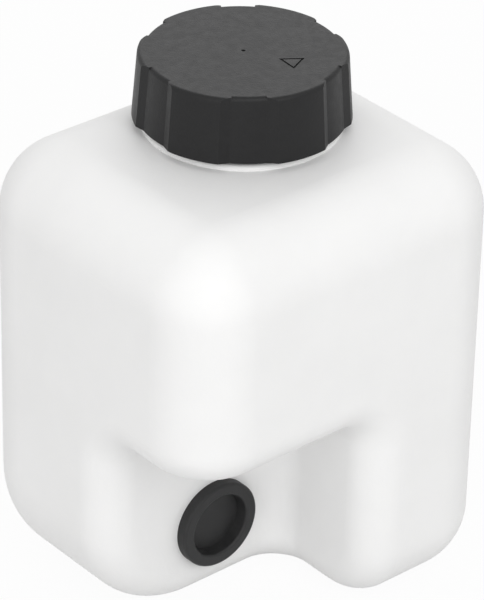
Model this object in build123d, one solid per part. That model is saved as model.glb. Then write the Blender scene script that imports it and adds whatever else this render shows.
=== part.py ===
"""Fluid reservoir: a blow-moulded tank with a screw cap, a cap seal and a blind rubber port plug."""
import os
from math import cos, radians, sin

from build123d import *

# Tank, all sizes in millimetres
TANK_WIDTH = 115.0
TANK_DEPTH = 100.5
TANK_HEIGHT = 140.0
TANK_WALL = 2.0
SIDE_EDGE_ROUND = 21.0
FACE_EDGE_ROUND = 20.5
LEFT_FOOT_ROUND = 34.0

# Pump niche, cut from the front left corner of the tank
NICHE_WIDTH = 65.5
NICHE_DEPTH = 40.0
NICHE_HEIGHT = 66.5
NICHE_RIM_ROUND = 11.0
NICHE_INNER_ROUND = 9.0

# Filler neck
NECK_X = 7.0
NECK_Y = 9.0
NECK_RADIUS = 24.8
NECK_WALL = 2.2
NECK_LIP_ROUND = 0.7
BOSS_LAND = 3.7
BOSS_HEIGHT = 1.6
BOSS_ROUND = 1.2
BOSS_DEPTH = 6.0

# Screw thread, shared by the neck and the cap
THREAD_PITCH = 6.0
THREAD_TURNS = 1.5
THREAD_DEPTH = 1.3
THREAD_ROOT_WIDTH = 2.6
THREAD_CREST_WIDTH = 1.4
THREAD_ROOT_SINK = 0.4
THREAD_LEAD_IN = 3.5
CAP_THREAD_SKIP = 0.5
THREAD_RADIAL_CLEARANCE = 0.45
THREAD_AXIAL_CLEARANCE = 0.35

# Filler cap
CAP_HEIGHT = 19.5
CAP_SIDE_WALL = 2.95
CAP_FOOT_FLARE = 1.5
CAP_TOP_WALL = 2.5
CAP_EDGE_ROUND = 1.3
CAP_FOOT_CLEARANCE = 1.4
FLUTE_COUNT = 6
FLUTE_PHASE = 53.0
FLUTE_FLOOR_ANGLE = 20.0
FLUTE_FLANK_ANGLE = 5.0
FLUTE_DEPTH = 1.3
GATE_MARK_RADIUS = 0.6
MARK_DEPTH = 0.4
ARROW_DISTANCE = 14.9
ARROW_BEARING = -65.0
ARROW_HEADING = -5.0
ARROW_RADIUS = 4.2
ARROW_LINE = 0.6

# Cap seal
SEAL_THICKNESS = 2.0
SEAL_OVERHANG = 1.2
SEAL_EDGE_CLEARANCE = 0.3

# Port plug
PLUG_FROM_LEFT = 40.4
PLUG_HEIGHT = 25.4
PLUG_FLANGE_RADIUS = 13.5
PLUG_FLANGE_THICKNESS = 3.5
PLUG_EDGE_ROUND = 0.9
PLUG_MOUTH_RADIUS = 9.8
PLUG_FLOOR_RADIUS = 9.2
PLUG_RECESS_DEPTH = 4.0
PLUG_BARB_HEIGHT = 1.2
PLUG_BARB_LAND = 1.5
PLUG_NOSE_LENGTH = 3.5
PLUG_NOSE_TAPER = 2.5
PORT_RADIUS = 11.3
PLUG_CLEARANCE = 0.1

# Places worked out from the sizes above
TANK_LEFT = -TANK_WIDTH / 2
TANK_FRONT = -TANK_DEPTH / 2
NICHE_WALL_X = TANK_LEFT + NICHE_WIDTH
NICHE_WALL_Y = TANK_FRONT + NICHE_DEPTH
CAP_FOOT_Z = TANK_HEIGHT + BOSS_HEIGHT + CAP_FOOT_CLEARANCE
CAP_TOP_Z = CAP_FOOT_Z + CAP_HEIGHT
CAP_CEILING_Z = CAP_TOP_Z - CAP_TOP_WALL
NECK_RIM_Z = CAP_CEILING_Z - SEAL_THICKNESS
NECK_BORE_RADIUS = NECK_RADIUS - NECK_WALL
BOSS_RADIUS = NECK_RADIUS + BOSS_LAND
CAP_BORE_RADIUS = NECK_RADIUS + THREAD_DEPTH + THREAD_RADIAL_CLEARANCE
CAP_TOP_RADIUS = CAP_BORE_RADIUS + CAP_SIDE_WALL
CAP_FOOT_RADIUS = CAP_TOP_RADIUS + CAP_FOOT_FLARE
NECK_AXIS = Pos(NECK_X, NECK_Y, 0)
PLUG_SEAT = Plane((TANK_LEFT + PLUG_FROM_LEFT, NICHE_WALL_Y, PLUG_HEIGHT), x_dir=(1, 0, 0), z_dir=(0, -1, 0))


def polar(radius, angle):
    """Point in the XY plane at a radius and an angle in degrees."""
    return radius * cos(radians(angle)), radius * sin(radians(angle))


def turned(*corners):
    """Sketch in the XZ plane with (radius, height) corners, to be rounded and then revolved about Z."""
    return Plane.XZ * Polygon(*corners, align=None)


def sketch_vertices(sketch, radius, height):
    """Vertices of an XZ sketch that lie at the given radius and height."""
    tolerance = 1e-4
    return [v for v in sketch.vertices() if abs(v.X - radius) < tolerance and abs(v.Z - height) < tolerance]


def niche_space(inset):
    """Space of the pump niche, grown by the wall when it is taken out of the cavity."""
    reach = TANK_WIDTH
    right = NICHE_WALL_X + inset
    rear = NICHE_WALL_Y + inset
    ceiling = NICHE_HEIGHT + inset
    space = Pos(right, rear, ceiling) * Box(reach, reach, reach, align=(Align.MAX, Align.MAX, Align.MAX))
    inner_edges = [
        space.edges().filter_by(Axis.X).sort_by(Axis.Z)[-2:].sort_by(Axis.Y)[-1],
        space.edges().filter_by(Axis.Y).sort_by(Axis.Z)[-2:].sort_by(Axis.X)[-1],
        space.edges().filter_by(Axis.Z).sort_by(Axis.X)[-2:].sort_by(Axis.Y)[-1],
    ]
    return fillet(inner_edges, NICHE_INNER_ROUND + inset)


def tank_form(inset):
    """Closed outer form of the tank without its neck, with every face moved in by the inset."""
    width = TANK_WIDTH - 2 * inset
    height = TANK_HEIGHT - 2 * inset
    outline = Plane.XZ * Pos(0, TANK_HEIGHT / 2) * Rectangle(width, height)
    left_foot = sketch_vertices(outline, -width / 2, inset)
    outline = fillet(left_foot, LEFT_FOOT_ROUND - inset)
    other_corners = [
        *sketch_vertices(outline, width / 2, inset),
        *sketch_vertices(outline, width / 2, TANK_HEIGHT - inset),
        *sketch_vertices(outline, -width / 2, TANK_HEIGHT - inset),
    ]
    outline = fillet(other_corners, SIDE_EDGE_ROUND - inset)
    block = extrude(outline, amount=TANK_DEPTH / 2 - inset, both=True)
    faces = block.faces().sort_by(Axis.Y)
    block = fillet([*faces[0].edges(), *faces[-1].edges()], FACE_EDGE_ROUND - inset)
    space = niche_space(inset)
    form = block - space
    rim = new_edges(block, space, combined=form)
    return fillet(rim, NICHE_RIM_ROUND - inset)


def thread_rib(root_radius, crest_radius, start_z, skipped_turns):
    """Helical rib of the screw thread from root to crest, begun some turns along the helix of start_z."""
    path = Helix(THREAD_PITCH, THREAD_PITCH * THREAD_TURNS, root_radius)
    section_plane = Plane(path @ 0, x_dir=(1, 0, 0), z_dir=path % 0)
    outward = 1 if crest_radius > root_radius else -1
    rise = abs(crest_radius - root_radius)
    section = section_plane * Polygon(
        (-outward * THREAD_ROOT_SINK, -THREAD_ROOT_WIDTH / 2),
        (outward * rise, -THREAD_CREST_WIDTH / 2),
        (outward * rise, THREAD_CREST_WIDTH / 2),
        (-outward * THREAD_ROOT_SINK, THREAD_ROOT_WIDTH / 2),
        align=None,
    )
    rib = sweep(section, path=path, is_frenet=True)
    return NECK_AXIS * Pos(0, 0, start_z + skipped_turns * THREAD_PITCH) * Rot(0, 0, skipped_turns * 360) * rib


def neck_thread_start():
    """Height at which the neck's rib begins, so that it ends below the lip by the lead-in."""
    return NECK_RIM_Z - THREAD_LEAD_IN - THREAD_PITCH * THREAD_TURNS


def make_tank():
    """Blow-moulded tank: one shell with its filler neck, thread, niche and port hole."""
    neck = turned(
        (0, TANK_HEIGHT - BOSS_DEPTH),
        (BOSS_RADIUS, TANK_HEIGHT - BOSS_DEPTH),
        (BOSS_RADIUS, TANK_HEIGHT + BOSS_HEIGHT),
        (NECK_RADIUS, TANK_HEIGHT + BOSS_HEIGHT),
        (NECK_RADIUS, NECK_RIM_Z),
        (0, NECK_RIM_Z),
    )
    neck = fillet(sketch_vertices(neck, BOSS_RADIUS, TANK_HEIGHT + BOSS_HEIGHT), BOSS_ROUND)
    neck = fillet(sketch_vertices(neck, NECK_RADIUS, NECK_RIM_Z), NECK_LIP_ROUND)
    tank = tank_form(0) + NECK_AXIS * revolve(neck, Axis.Z)
    bore_height = NECK_RIM_Z - TANK_HEIGHT + BOSS_DEPTH
    bore = Cylinder(NECK_BORE_RADIUS, bore_height, align=(Align.CENTER, Align.CENTER, Align.MAX))
    port = PLUG_SEAT * Pos(0, 0, -TANK_WALL / 2) * Cylinder(PORT_RADIUS, 2 * TANK_WALL)
    tank = tank - tank_form(TANK_WALL) - NECK_AXIS * Pos(0, 0, NECK_RIM_Z) * bore - port
    rib = thread_rib(NECK_RADIUS, NECK_RADIUS + THREAD_DEPTH, neck_thread_start(), 0)
    return tank + rib


def cap_form(inset):
    """Plain tapered form of the cap with its rounded top edge, drawn in by the flute depth for the flutes."""
    form = turned(
        (0, CAP_FOOT_Z),
        (CAP_FOOT_RADIUS - inset, CAP_FOOT_Z),
        (CAP_TOP_RADIUS - inset, CAP_TOP_Z),
        (0, CAP_TOP_Z),
    )
    form = fillet(sketch_vertices(form, CAP_TOP_RADIUS - inset, CAP_TOP_Z), CAP_EDGE_ROUND)
    return revolve(form, Axis.Z)


def flute_plan(radius, angle, height):
    """Plan of one flute at a height where the lobes have the given radius, drawn past them by its depth."""
    half_floor = FLUTE_FLOOR_ANGLE / 2
    half_mouth = half_floor + 2 * FLUTE_FLANK_ANGLE
    floor_radius = radius - FLUTE_DEPTH
    mouth_radius = radius + FLUTE_DEPTH
    core_radius = floor_radius - FLUTE_DEPTH
    return Pos(0, 0, height) * Polygon(
        polar(core_radius, angle - half_floor),
        polar(floor_radius, angle - half_floor),
        polar(mouth_radius, angle - half_mouth),
        polar(mouth_radius / cos(radians(half_mouth)), angle),
        polar(mouth_radius, angle + half_mouth),
        polar(floor_radius, angle + half_floor),
        polar(core_radius, angle + half_floor),
        align=None,
    )


def flute(angle, drawn_in):
    """Shallow finger flute with sloped flanks, cut down to the drawn-in cap form."""
    foot = flute_plan(CAP_FOOT_RADIUS, angle, CAP_FOOT_Z)
    top = flute_plan(CAP_TOP_RADIUS, angle, CAP_TOP_Z)
    return loft([foot, top], ruled=True) - drawn_in


def arrow_mark():
    """Engraved outline of a plain triangle on the cap's top."""
    outer = RegularPolygon(ARROW_RADIUS, 3)
    inner = RegularPolygon(ARROW_RADIUS - 2 * ARROW_LINE, 3)
    x, y = polar(ARROW_DISTANCE, ARROW_BEARING)
    place = Pos(x, y, CAP_TOP_Z) * Rot(0, 0, ARROW_HEADING)
    return extrude(place * (outer - inner), -MARK_DEPTH)


def make_cap():
    """Fluted screw cap with an inner thread, a gate mark and a triangle on its top."""
    cap = cap_form(0)
    drawn_in = cap_form(FLUTE_DEPTH)
    for index in range(FLUTE_COUNT):
        cap = cap - flute(FLUTE_PHASE + index * 360 / FLUTE_COUNT, drawn_in)
    bore_height = CAP_CEILING_Z - CAP_FOOT_Z
    bore = Cylinder(CAP_BORE_RADIUS, bore_height, align=(Align.CENTER, Align.CENTER, Align.MIN))
    gate_mark = Pos(0, 0, CAP_TOP_Z) * Cylinder(GATE_MARK_RADIUS, 2 * MARK_DEPTH)
    cap = cap - Pos(0, 0, CAP_FOOT_Z) * bore - gate_mark - arrow_mark()
    rib_spacing = (THREAD_ROOT_WIDTH + THREAD_CREST_WIDTH) / 2 + THREAD_AXIAL_CLEARANCE
    rib_start = neck_thread_start() - rib_spacing
    crest_radius = NECK_RADIUS + THREAD_RADIAL_CLEARANCE
    return NECK_AXIS * cap + thread_rib(CAP_BORE_RADIUS, crest_radius, rib_start, CAP_THREAD_SKIP)


def make_seal():
    """Flat ring between the neck's lip and the cap's ceiling."""
    outer_radius = CAP_BORE_RADIUS - SEAL_EDGE_CLEARANCE
    inner_radius = NECK_BORE_RADIUS - SEAL_OVERHANG
    ring = Circle(outer_radius) - Circle(inner_radius)
    return NECK_AXIS * Pos(0, 0, NECK_RIM_Z) * extrude(ring, SEAL_THICKNESS)


def make_plug():
    """Blind rubber plug: front flange, groove round the tank wall, barb and tapered nose."""
    groove_radius = PORT_RADIUS - PLUG_CLEARANCE
    barb_radius = PORT_RADIUS + PLUG_BARB_HEIGHT
    barb_top = -TANK_WALL - PLUG_CLEARANCE
    barb_bottom = barb_top - PLUG_BARB_LAND
    profile = turned(
        (0, PLUG_FLANGE_THICKNESS - PLUG_RECESS_DEPTH),
        (PLUG_FLOOR_RADIUS, PLUG_FLANGE_THICKNESS - PLUG_RECESS_DEPTH),
        (PLUG_MOUTH_RADIUS, PLUG_FLANGE_THICKNESS),
        (PLUG_FLANGE_RADIUS, PLUG_FLANGE_THICKNESS),
        (PLUG_FLANGE_RADIUS, 0),
        (groove_radius, 0),
        (groove_radius, barb_top),
        (barb_radius, barb_top),
        (barb_radius, barb_bottom),
        (barb_radius - PLUG_NOSE_TAPER, barb_bottom - PLUG_NOSE_LENGTH),
        (0, barb_bottom - PLUG_NOSE_LENGTH),
    )
    rounded = [
        *sketch_vertices(profile, PLUG_FLANGE_RADIUS, PLUG_FLANGE_THICKNESS),
        *sketch_vertices(profile, PLUG_MOUTH_RADIUS, PLUG_FLANGE_THICKNESS),
    ]
    return PLUG_SEAT * revolve(fillet(rounded, PLUG_EDGE_ROUND), Axis.Z)


PIECES = {
    "tank": make_tank,
    "filler_cap": make_cap,
    "cap_seal": make_seal,
    "pump_port_plug": make_plug,
}

os.makedirs("parts", exist_ok=True)
for name, make in PIECES.items():
    export_step(make(), os.path.join("parts", name + ".step"))
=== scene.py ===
"""Studio scene of a fluid reservoir: moulded finishes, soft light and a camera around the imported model."""
import logging
import math
from dataclasses import dataclass, field
from enum import Enum

import bpy
from mathutils import Matrix, Vector

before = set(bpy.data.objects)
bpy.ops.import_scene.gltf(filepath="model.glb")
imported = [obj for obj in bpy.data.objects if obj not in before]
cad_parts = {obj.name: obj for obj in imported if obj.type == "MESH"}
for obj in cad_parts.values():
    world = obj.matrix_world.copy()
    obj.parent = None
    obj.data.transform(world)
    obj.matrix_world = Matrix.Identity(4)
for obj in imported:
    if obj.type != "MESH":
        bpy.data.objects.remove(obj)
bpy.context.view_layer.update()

LOG = logging.getLogger("fluid_reservoir")

# Surface effects: reach of rubbed edges with their painted highlight in metres, noise settings and the band
# that is spread into a mask
EDGE_REACH = 0.0006
EDGE_SAMPLES = 6
FINE_DETAIL = 2.0
COARSE_DETAIL = 3.0
MOTTLE_DETAIL = 4.0
MOTTLE_ROUGHNESS = 0.55
MOTTLE_BAND = (0.35, 0.65)

# Radius of the scattering, the same in red, green and blue
EVEN_SCATTER = (1.0, 1.0, 1.0)
WHITE = (1.0, 1.0, 1.0)
CAMERA_REACH = 10.0

Colour = tuple[float, float, float]
Point = tuple[float, float, float]


class Body(Enum):
    """Rigid bodies of the reservoir that pieces ride on."""

    RESERVOIR = "reservoir"
    SEAL = "seal"
    CAP = "cap"


class Slot(Enum):
    """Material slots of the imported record."""

    TANK = "tank_plastic"
    CAP = "cap_plastic"
    SEAL = "seal_rubber"
    PLUG = "plug_rubber"


class Effect(Enum):
    """Shared surface effects, each built once as a shader node group."""

    GRAIN = "moulded grain"
    MOTTLE = "mottled tone"
    EDGE = "worn edge and painted highlight"


def rgba(colour: Colour) -> tuple[float, float, float, float]:
    """Give a colour its opaque alpha."""
    return (*colour, 1.0)


@dataclass
class NodeSketch:
    """Node tree under construction, with short calls to add and join nodes.

    Args:
        tree: Node tree of a material or of a node group.
    """

    tree: bpy.types.NodeTree

    def add(self, kind: str, **settings: object) -> bpy.types.Node:
        """Add a node and set its plain properties.

        Args:
            kind: Blender's type name of the node.
            settings: Properties of the node, by name.

        Returns:
            The new node.
        """
        node = self.tree.nodes.new(kind)
        for name, value in settings.items():
            setattr(node, name, value)
        return node

    def join(self, source: bpy.types.NodeSocket, target: bpy.types.NodeSocket) -> None:
        """Link an output to an input."""
        self.tree.links.new(source, target)

    def math(self, operation: str, first: object, second: object) -> bpy.types.NodeSocket:
        """Add a math node on two sockets or numbers.

        Args:
            operation: Name of the operation, such as MULTIPLY.
            first: Socket or number of the first input.
            second: Socket or number of the second input.

        Returns:
            The node's result socket.
        """
        node = self.add("ShaderNodeMath", operation=operation)
        for socket, value in zip(node.inputs, (first, second)):
            if isinstance(value, bpy.types.NodeSocket):
                self.join(value, socket)
            else:
                socket.default_value = value
        return node.outputs["Value"]


class EffectLibrary:
    """Shader node groups of the shared surface effects."""

    def __init__(self) -> None:
        """Build every group once."""
        self.groups: dict[Effect, bpy.types.NodeTree] = {
            Effect.GRAIN: self._grain(),
            Effect.MOTTLE: self._mottle(),
            Effect.EDGE: self._edge(),
        }

    def place(self, sketch: NodeSketch, effect: Effect, **values: object) -> bpy.types.Node:
        """Place an effect in a material.

        Args:
            sketch: Node tree of the material.
            effect: Effect to place.
            values: Input values of the group, by socket name with underscores for spaces.

        Returns:
            The group node.
        """
        node = sketch.add("ShaderNodeGroup")
        node.node_tree = self.groups[effect]
        for name, value in values.items():
            node.inputs[name.replace("_", " ")].default_value = value
        return node

    @staticmethod
    def _new(effect: Effect, inputs: dict[str, str], outputs: dict[str, str]) -> NodeSketch:
        """Start a group with its named sockets.

        Args:
            effect: Effect that the group is for.
            inputs: Socket types of the inputs, by name.
            outputs: Socket types of the outputs, by name.

        Returns:
            The group's empty node tree.
        """
        tree = bpy.data.node_groups.new(effect.value, "ShaderNodeTree")
        for name, kind in inputs.items():
            tree.interface.new_socket(name, in_out="INPUT", socket_type=kind)
        for name, kind in outputs.items():
            tree.interface.new_socket(name, in_out="OUTPUT", socket_type=kind)
        return NodeSketch(tree)

    def _grain(self) -> bpy.types.NodeTree:
        """Build the grain of a moulded surface, as a height made of a fine and a coarse noise.

        Returns:
            The group's node tree.
        """
        inputs = {name: "NodeSocketFloat" for name in ("Fine Scale", "Coarse Scale", "Coarse Share")}
        sketch = self._new(Effect.GRAIN, inputs, {"Height": "NodeSocketFloat"})
        given = sketch.add("NodeGroupInput")
        result = sketch.add("NodeGroupOutput")
        place = sketch.add("ShaderNodeTexCoord")
        heights = []
        for socket, detail in (("Fine Scale", FINE_DETAIL), ("Coarse Scale", COARSE_DETAIL)):
            noise = sketch.add("ShaderNodeTexNoise")
            noise.inputs["Detail"].default_value = detail
            sketch.join(place.outputs["Object"], noise.inputs["Vector"])
            sketch.join(given.outputs[socket], noise.inputs["Scale"])
            heights.append(noise.outputs["Fac"])
        blend = sketch.add("ShaderNodeMix", data_type="FLOAT")
        sketch.join(given.outputs["Coarse Share"], blend.inputs["Factor"])
        sketch.join(heights[0], blend.inputs["A"])
        sketch.join(heights[1], blend.inputs["B"])
        sketch.join(blend.outputs["Result"], result.inputs["Height"])
        return sketch.tree

    def _mottle(self) -> bpy.types.NodeTree:
        """Build a slow change between two tones, with its mask.

        Returns:
            The group's node tree.
        """
        inputs = {"Scale": "NodeSocketFloat", "Dark": "NodeSocketColor", "Light": "NodeSocketColor"}
        outputs = {"Color": "NodeSocketColor", "Mask": "NodeSocketFloat"}
        sketch = self._new(Effect.MOTTLE, inputs, outputs)
        given = sketch.add("NodeGroupInput")
        result = sketch.add("NodeGroupOutput")
        place = sketch.add("ShaderNodeTexCoord")
        noise = sketch.add("ShaderNodeTexNoise")
        noise.inputs["Detail"].default_value = MOTTLE_DETAIL
        noise.inputs["Roughness"].default_value = MOTTLE_ROUGHNESS
        sketch.join(place.outputs["Object"], noise.inputs["Vector"])
        sketch.join(given.outputs["Scale"], noise.inputs["Scale"])
        spread = sketch.add("ShaderNodeMapRange", clamp=True)
        spread.inputs["From Min"].default_value, spread.inputs["From Max"].default_value = MOTTLE_BAND
        sketch.join(noise.outputs["Fac"], spread.inputs["Value"])
        blend = sketch.add("ShaderNodeMix", data_type="RGBA")
        sketch.join(spread.outputs["Result"], blend.inputs["Factor"])
        sketch.join(given.outputs["Dark"], blend.inputs["A"])
        sketch.join(given.outputs["Light"], blend.inputs["B"])
        sketch.join(blend.outputs["Result"], result.inputs["Color"])
        sketch.join(spread.outputs["Result"], result.inputs["Mask"])
        return sketch.tree

    def _edge(self) -> bpy.types.NodeTree:
        """Build a mask of the outer edges, lightened partly as wear from handling and partly as a painted
        highlight on the rounded edges.

        Returns:
            The group's node tree.
        """
        inputs = {"Gain": "NodeSocketFloat", "Break Scale": "NodeSocketFloat"}
        sketch = self._new(Effect.EDGE, inputs, {"Mask": "NodeSocketFloat"})
        given = sketch.add("NodeGroupInput")
        result = sketch.add("NodeGroupOutput")
        surface = sketch.add("ShaderNodeNewGeometry")
        rounded = sketch.add("ShaderNodeBevel", samples=EDGE_SAMPLES)
        rounded.inputs["Radius"].default_value = EDGE_REACH
        turn = sketch.add("ShaderNodeVectorMath", operation="DOT_PRODUCT")
        sketch.join(surface.outputs["Normal"], turn.inputs[0])
        sketch.join(rounded.outputs["Normal"], turn.inputs[1])
        bend = sketch.math("SUBTRACT", 1.0, turn.outputs["Value"])
        strength = sketch.math("MULTIPLY", bend, given.outputs["Gain"])
        place = sketch.add("ShaderNodeTexCoord")
        noise = sketch.add("ShaderNodeTexNoise")
        sketch.join(place.outputs["Object"], noise.inputs["Vector"])
        sketch.join(given.outputs["Break Scale"], noise.inputs["Scale"])
        broken = sketch.math("MULTIPLY", strength, noise.outputs["Fac"])
        limited = sketch.math("MINIMUM", broken, 1.0)
        sketch.join(limited, result.inputs["Mask"])
        return sketch.tree


@dataclass(frozen=True)
class Finish:
    """Moulded finish with a mottled tone, a grain and rubbed edges that also carry a painted highlight.

    Args:
        name: Name of the material.
        dark: Darker tone of the moulding.
        light: Lighter tone of the moulding.
        mottle_scale: Repeats per metre of the change in tone.
        roughness: Lowest and highest roughness.
        specular: Specular level of the surface.
        fine_scale: Repeats per metre of the fine grain.
        coarse_scale: Repeats per metre of the coarse waves.
        coarse_share: Share of the coarse waves in the height.
        relief: Height of the relief in metres.
        edge_colour: Tone of rubbed edges, partly a painted highlight.
        edge_gain: Strength of the rubbed edges and their painted highlight, none at 0.
        subsurface: Share of the light that is scattered below the surface.
        scatter: Distance that light spreads below the surface, in metres.
    """

    name: str
    dark: Colour
    light: Colour
    mottle_scale: float
    roughness: tuple[float, float]
    specular: float
    fine_scale: float
    coarse_scale: float
    coarse_share: float
    relief: float
    edge_colour: Colour = (0.0, 0.0, 0.0)
    edge_gain: float = 0.0
    subsurface: float = 0.0
    scatter: float = 0.0

    def material(self, effects: EffectLibrary) -> bpy.types.Material:
        """Build the material of the finish.

        Args:
            effects: Library of the shared effects.

        Returns:
            The new material.
        """
        material = bpy.data.materials.new(self.name)
        material.use_nodes = True
        sketch = NodeSketch(material.node_tree)
        shader = material.node_tree.nodes["Principled BSDF"]
        shader.inputs["Specular IOR Level"].default_value = self.specular
        shader.inputs["Subsurface Weight"].default_value = self.subsurface
        shader.inputs["Subsurface Radius"].default_value = EVEN_SCATTER
        shader.inputs["Subsurface Scale"].default_value = self.scatter
        mottle = effects.place(
            sketch, Effect.MOTTLE, Scale=self.mottle_scale, Dark=rgba(self.dark), Light=rgba(self.light)
        )
        self._colour(sketch, effects, mottle, shader)
        self._roughness(sketch, mottle, shader)
        self._relief(sketch, effects, shader)
        return material

    def _colour(
        self, sketch: NodeSketch, effects: EffectLibrary, mottle: bpy.types.Node, shader: bpy.types.Node
    ) -> None:
        """Join the mottled tone to the shader, with rubbed edges and their painted highlight where there are
        any.

        Args:
            sketch: Node tree of the material.
            effects: Library of the shared effects.
            mottle: Placed group of the mottled tone.
            shader: Shader that takes the colour.
        """
        colour = mottle.outputs["Color"]
        if self.edge_gain:
            # Lighter edge tone: partly wear, partly a painted highlight on the rounded edges.
            edge = effects.place(sketch, Effect.EDGE, Gain=self.edge_gain, Break_Scale=self.mottle_scale)
            worn_and_highlit = sketch.add("ShaderNodeMix", data_type="RGBA")
            sketch.join(edge.outputs["Mask"], worn_and_highlit.inputs["Factor"])
            sketch.join(colour, worn_and_highlit.inputs["A"])
            worn_and_highlit.inputs["B"].default_value = rgba(self.edge_colour)
            colour = worn_and_highlit.outputs["Result"]
        sketch.join(colour, shader.inputs["Base Color"])

    def _roughness(self, sketch: NodeSketch, mottle: bpy.types.Node, shader: bpy.types.Node) -> None:
        """Let the roughness follow the mottled tone between its two ends.

        Args:
            sketch: Node tree of the material.
            mottle: Placed group of the mottled tone.
            shader: Shader that takes the roughness.
        """
        low, high = self.roughness
        spread = sketch.add("ShaderNodeMapRange", clamp=True)
        spread.inputs["To Min"].default_value = low
        spread.inputs["To Max"].default_value = high
        sketch.join(mottle.outputs["Mask"], spread.inputs["Value"])
        sketch.join(spread.outputs["Result"], shader.inputs["Roughness"])

    def _relief(self, sketch: NodeSketch, effects: EffectLibrary, shader: bpy.types.Node) -> None:
        """Join the grain to the shader as a relief of a real height.

        Args:
            sketch: Node tree of the material.
            effects: Library of the shared effects.
            shader: Shader that takes the normal.
        """
        grain = effects.place(
            sketch,
            Effect.GRAIN,
            Fine_Scale=self.fine_scale,
            Coarse_Scale=self.coarse_scale,
            Coarse_Share=self.coarse_share,
        )
        bump = sketch.add("ShaderNodeBump")
        bump.inputs["Strength"].default_value = 1.0
        bump.inputs["Distance"].default_value = self.relief
        sketch.join(grain.outputs["Height"], bump.inputs["Height"])
        sketch.join(bump.outputs["Normal"], shader.inputs["Normal"])


BLOWN_POLYETHYLENE = Finish(
    name="blown_polyethylene",
    dark=(0.862, 0.86, 0.856),
    light=(0.886, 0.884, 0.88),
    mottle_scale=30.0,
    roughness=(0.5, 0.6),
    specular=0.28,
    fine_scale=800.0,
    coarse_scale=24.0,
    coarse_share=0.9,
    relief=0.0003,
    subsurface=0.1,
    scatter=0.003,
)
GRAINED_POLYPROPYLENE = Finish(
    name="grained_polypropylene",
    dark=(0.0085, 0.0085, 0.009),
    light=(0.0105, 0.0105, 0.011),
    mottle_scale=420.0,
    roughness=(0.46, 0.52),
    specular=0.29,
    fine_scale=2400.0,
    coarse_scale=1100.0,
    coarse_share=0.45,
    relief=0.00009,
    # Lighter edges of the cap: partly rubbed wear, partly a painted highlight.
    edge_colour=(0.045, 0.045, 0.046),
    edge_gain=1.5,
)
PLUG_RUBBER = Finish(
    name="plug_rubber",
    dark=(0.017, 0.017, 0.0175),
    light=(0.024, 0.024, 0.0245),
    mottle_scale=300.0,
    roughness=(0.52, 0.62),
    specular=0.36,
    fine_scale=3000.0,
    coarse_scale=700.0,
    coarse_share=0.5,
    relief=0.00004,
    # Lighter edges of the plug: partly rubbed wear, partly a painted highlight.
    edge_colour=(0.04, 0.04, 0.041),
    edge_gain=1.2,
)
SEAL_RUBBER = Finish(
    name="seal_rubber",
    dark=(0.016, 0.016, 0.0165),
    light=(0.026, 0.026, 0.027),
    mottle_scale=200.0,
    roughness=(0.55, 0.7),
    specular=0.4,
    fine_scale=3000.0,
    coarse_scale=500.0,
    coarse_share=0.5,
    relief=0.00005,
)


@dataclass(frozen=True)
class MouldedPiece:
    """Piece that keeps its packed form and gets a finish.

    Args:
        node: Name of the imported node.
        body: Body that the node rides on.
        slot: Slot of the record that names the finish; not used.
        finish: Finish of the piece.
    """

    node: str
    body: Body
    slot: Slot
    finish: Finish

    def dress(self, effects: EffectLibrary) -> bpy.types.Object:
        """Give the node its finish.

        Args:
            effects: Library of the shared effects.

        Returns:
            The dressed object.
        """
        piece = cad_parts[self.node]
        piece.data.materials.clear()
        piece.data.materials.append(self.finish.material(effects))
        LOG.info("%s rides on %s in %s", self.node, self.body.value, self.finish.name)
        return piece


@dataclass
class TankAssembly:
    """Blown tank with the blind plug in its port."""

    tank: MouldedPiece = MouldedPiece("tank", Body.RESERVOIR, Slot.TANK, BLOWN_POLYETHYLENE)
    plug: MouldedPiece = MouldedPiece("pump_port_plug", Body.RESERVOIR, Slot.PLUG, PLUG_RUBBER)

    def dress(self, effects: EffectLibrary) -> list[bpy.types.Object]:
        """Dress the tank and its plug."""
        return [piece.dress(effects) for piece in (self.tank, self.plug)]


@dataclass
class ClosureAssembly:
    """Screw cap with the seal under it."""

    seal: MouldedPiece = MouldedPiece("cap_seal", Body.SEAL, Slot.SEAL, SEAL_RUBBER)
    cap: MouldedPiece = MouldedPiece("filler_cap", Body.CAP, Slot.CAP, GRAINED_POLYPROPYLENE)

    def dress(self, effects: EffectLibrary) -> list[bpy.types.Object]:
        """Dress the seal and the cap."""
        return [piece.dress(effects) for piece in (self.seal, self.cap)]


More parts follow.
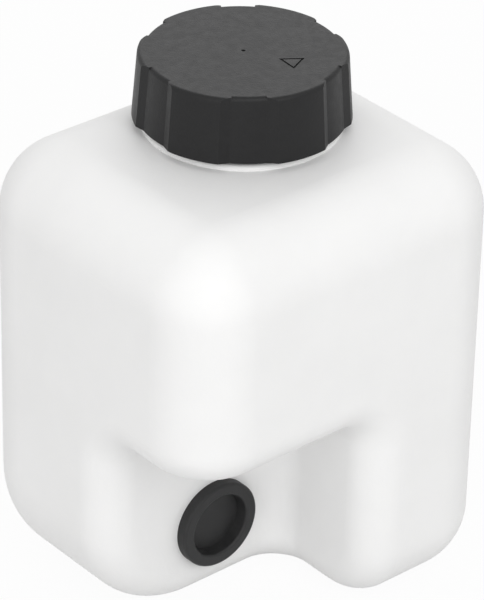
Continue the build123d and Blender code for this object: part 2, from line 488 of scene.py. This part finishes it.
@dataclass
class StudioCamera:
    """Camera at the viewing angle of the product picture.

    Args:
        target: Point that the camera circles, in metres.
        azimuth: Angle round the object in degrees, 0 at its front.
        elevation: Angle above the horizon in degrees.
        distance: Distance from the target in metres.
        lens: Focal length in millimetres.
        pan: Turn to the right of the target, as a tangent.
        tilt: Turn above the target, as a tangent.
        roll: Turn about the line of sight in degrees.
    """

    target: Point = (0.0, 0.0, 0.07015)
    azimuth: float = -40.874
    elevation: float = 32.007
    distance: float = 1.07046
    lens: float = 223.5
    pan: float = 0.00057
    tilt: float = 0.014726
    roll: float = 1.327

    def build(self) -> bpy.types.Object:
        """Make the camera and look through it.

        Returns:
            The camera object.
        """
        turn = math.radians(self.azimuth)
        rise = math.radians(self.elevation)
        back = Vector((math.sin(turn) * math.cos(rise), -math.cos(turn) * math.cos(rise), math.sin(rise)))
        right = Vector((math.cos(turn), math.sin(turn), 0.0))
        upward = back.cross(right)
        forward = (-back + self.pan * right + self.tilt * upward).normalized()
        right = forward.cross(Vector((0.0, 0.0, 1.0))).normalized()
        upward = right.cross(forward)
        roll = math.radians(self.roll)
        rolled_right = math.cos(roll) * right + math.sin(roll) * upward
        rolled_up = math.cos(roll) * upward - math.sin(roll) * right
        data = bpy.data.cameras.new("studio_camera")
        data.lens = self.lens
        data.clip_end = CAMERA_REACH
        camera = bpy.data.objects.new("studio_camera", data)
        axes = Matrix((rolled_right, rolled_up, -forward)).transposed()
        camera.matrix_world = Matrix.Translation(Vector(self.target) + self.distance * back) @ axes.to_4x4()
        bpy.context.scene.collection.objects.link(camera)
        bpy.context.scene.camera = camera
        return camera


@dataclass
class SoftLamp:
    """Large square lamp that points at the object.

    Args:
        name: Name of the lamp.
        place: Place of the lamp in metres.
        size: Side of the lamp in metres.
        power: Power in watts.
        aim: Point that the lamp faces.
    """

    name: str
    place: Point
    size: float
    power: float
    aim: Point = (0.0, 0.0, 0.07)

    def build(self) -> bpy.types.Object:
        """Make the lamp.

        Returns:
            The lamp object.
        """
        data = bpy.data.lights.new(self.name, "AREA")
        data.shape = "SQUARE"
        data.size = self.size
        data.energy = self.power
        lamp = bpy.data.objects.new(self.name, data)
        lamp.location = self.place
        lamp.rotation_mode = "QUATERNION"
        lamp.rotation_quaternion = (Vector(self.aim) - Vector(self.place)).to_track_quat("-Z", "Y")
        bpy.context.scene.collection.objects.link(lamp)
        return lamp


@dataclass
class Studio:
    """White sweep, even surroundings and soft lamps.

    Args:
        floor_size: Side of the floor in metres.
        floor_colour: Colour of the floor.
        floor_glow: Share of the floor that is plain white as the camera sees it.
        surround: Strength of the even light from all round.
        lamps: Lamps of the studio.
    """

    floor_size: float = 6.0
    floor_colour: Colour = (0.74, 0.74, 0.74)
    floor_glow: float = 0.95
    surround: float = 0.73
    lamps: list[SoftLamp] = field(
        default_factory=lambda: [
            SoftLamp("key_lamp", (-0.35, -0.95, 0.95), 0.9, 5.2),
            SoftLamp("fill_lamp", (-1.05, -0.6, 0.3), 0.9, 2.6),
            SoftLamp("back_lamp", (0.75, 0.85, 0.75), 0.9, 2.6),
        ]
    )

    def build(self) -> None:
        """Make the floor, the surroundings and the lamps."""
        self._floor()
        self._world()
        for lamp in self.lamps:
            lamp.build()

    @staticmethod
    def _seen(sketch: NodeSketch) -> bpy.types.NodeSocket:
        """Mask of the rays that show the backdrop: seen directly, in a reflection or through glass.

        Args:
            sketch: Node tree of the material or of the world.

        Returns:
            The mask's socket.
        """
        path = sketch.add("ShaderNodeLightPath")
        direct_or_glossy = sketch.math("MAXIMUM", path.outputs["Is Camera Ray"], path.outputs["Is Glossy Ray"])
        return sketch.math("MAXIMUM", direct_or_glossy, path.outputs["Is Transmission Ray"])

    def _floor(self) -> bpy.types.Object:
        """Make the floor, near white to the camera but with the object's shadow on it.

        Returns:
            The floor object.
        """
        half = self.floor_size / 2
        mesh = bpy.data.meshes.new("studio_floor")
        corners = [(-half, -half, 0.0), (half, -half, 0.0), (half, half, 0.0), (-half, half, 0.0)]
        mesh.from_pydata(corners, [], [(0, 1, 2, 3)])
        floor = bpy.data.objects.new("studio_floor", mesh)
        bpy.context.scene.collection.objects.link(floor)
        material = bpy.data.materials.new("studio_paper")
        material.use_nodes = True
        sketch = NodeSketch(material.node_tree)
        material.node_tree.nodes.remove(material.node_tree.nodes["Principled BSDF"])
        paper = sketch.add("ShaderNodeBsdfDiffuse")
        paper.inputs["Color"].default_value = rgba(self.floor_colour)
        white = sketch.add("ShaderNodeEmission")
        share = sketch.math("MULTIPLY", self._seen(sketch), self.floor_glow)
        blend = sketch.add("ShaderNodeMixShader")
        sketch.join(share, blend.inputs["Fac"])
        sketch.join(paper.outputs["BSDF"], blend.inputs[1])
        sketch.join(white.outputs["Emission"], blend.inputs[2])
        sketch.join(blend.outputs["Shader"], material.node_tree.nodes["Material Output"].inputs["Surface"])
        mesh.materials.append(material)
        return floor

    def _world(self) -> None:
        """Light the object evenly and show plain white behind it."""
        world = bpy.data.worlds.new("studio_surround")
        bpy.context.scene.world = world
        world.use_nodes = True
        sketch = NodeSketch(world.node_tree)
        light = world.node_tree.nodes["Background"]
        light.inputs["Color"].default_value = rgba(WHITE)
        light.inputs["Strength"].default_value = self.surround
        white = sketch.add("ShaderNodeBackground")
        white.inputs["Color"].default_value = rgba(WHITE)
        blend = sketch.add("ShaderNodeMixShader")
        sketch.join(self._seen(sketch), blend.inputs["Fac"])
        sketch.join(light.outputs["Background"], blend.inputs[1])
        sketch.join(white.outputs["Background"], blend.inputs[2])
        sketch.join(blend.outputs["Shader"], world.node_tree.nodes["World Output"].inputs["Surface"])


def main() -> None:
    """Build the studio and the reservoir."""
    logging.basicConfig(level=logging.INFO, format="%(name)s: %(message)s")
    bpy.context.scene.view_settings.view_transform = "Standard"
    effects = EffectLibrary()
    TankAssembly().dress(effects)
    ClosureAssembly().dress(effects)
    Studio().build()
    StudioCamera().build()


if __name__ == "__main__":
    main()
